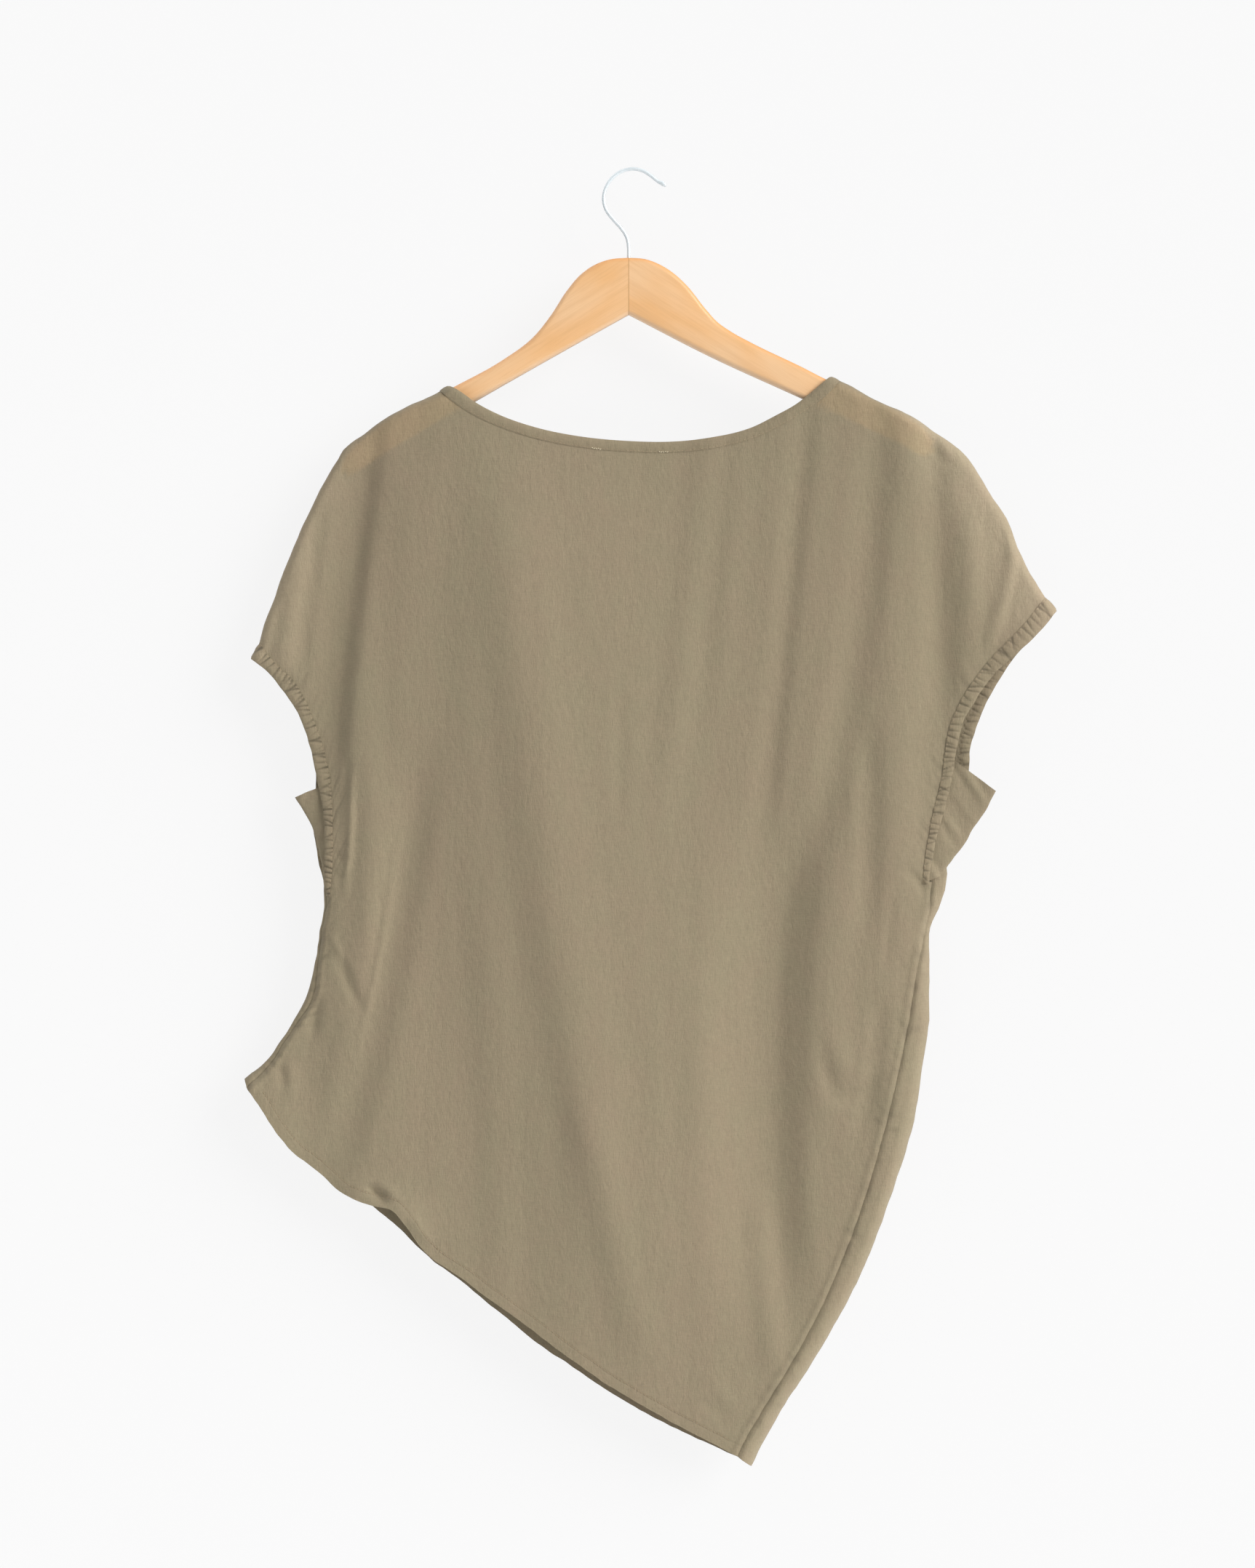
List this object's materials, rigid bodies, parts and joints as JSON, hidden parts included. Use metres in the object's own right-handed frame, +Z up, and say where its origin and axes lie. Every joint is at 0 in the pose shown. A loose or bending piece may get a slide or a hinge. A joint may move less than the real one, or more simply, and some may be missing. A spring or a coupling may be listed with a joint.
{
  "type": "asymmetric top on a wooden hanger",
  "caption": "Loose cap-sleeved top with a wide round neck and a hem that slants to a point, hung flat on a flat wooden hanger with a wire hook.",
  "frame": {"origin": "inside of the hook's bend, at the point that rests on the peg, nail or rail", "axes": "+Z up, the garment's back faces -Y, +X to the right as the back is seen"},
  "size_m": [0.5993, 0.031, 0.9569],
  "materials": {
    "crinkled_cloth": "matt, thin, crinkled",
    "bias_binding": "matt, doubled cloth",
    "hanger_wood": "satin varnish",
    "hook_wire": "bright plated wire"
  },
  "bodies": {
    "root": {"back_panel": "crinkled_cloth", "front_panel": "crinkled_cloth", "neck_binding": "bias_binding", "armhole_binding_left": "bias_binding", "armhole_binding_right": "bias_binding", "underarm_gusset_left": "crinkled_cloth", "underarm_gusset_right": "crinkled_cloth", "hanger_half_left": "hanger_wood", "hanger_half_right": "hanger_wood", "hook": "hook_wire"}
  },
  "joints": []
}
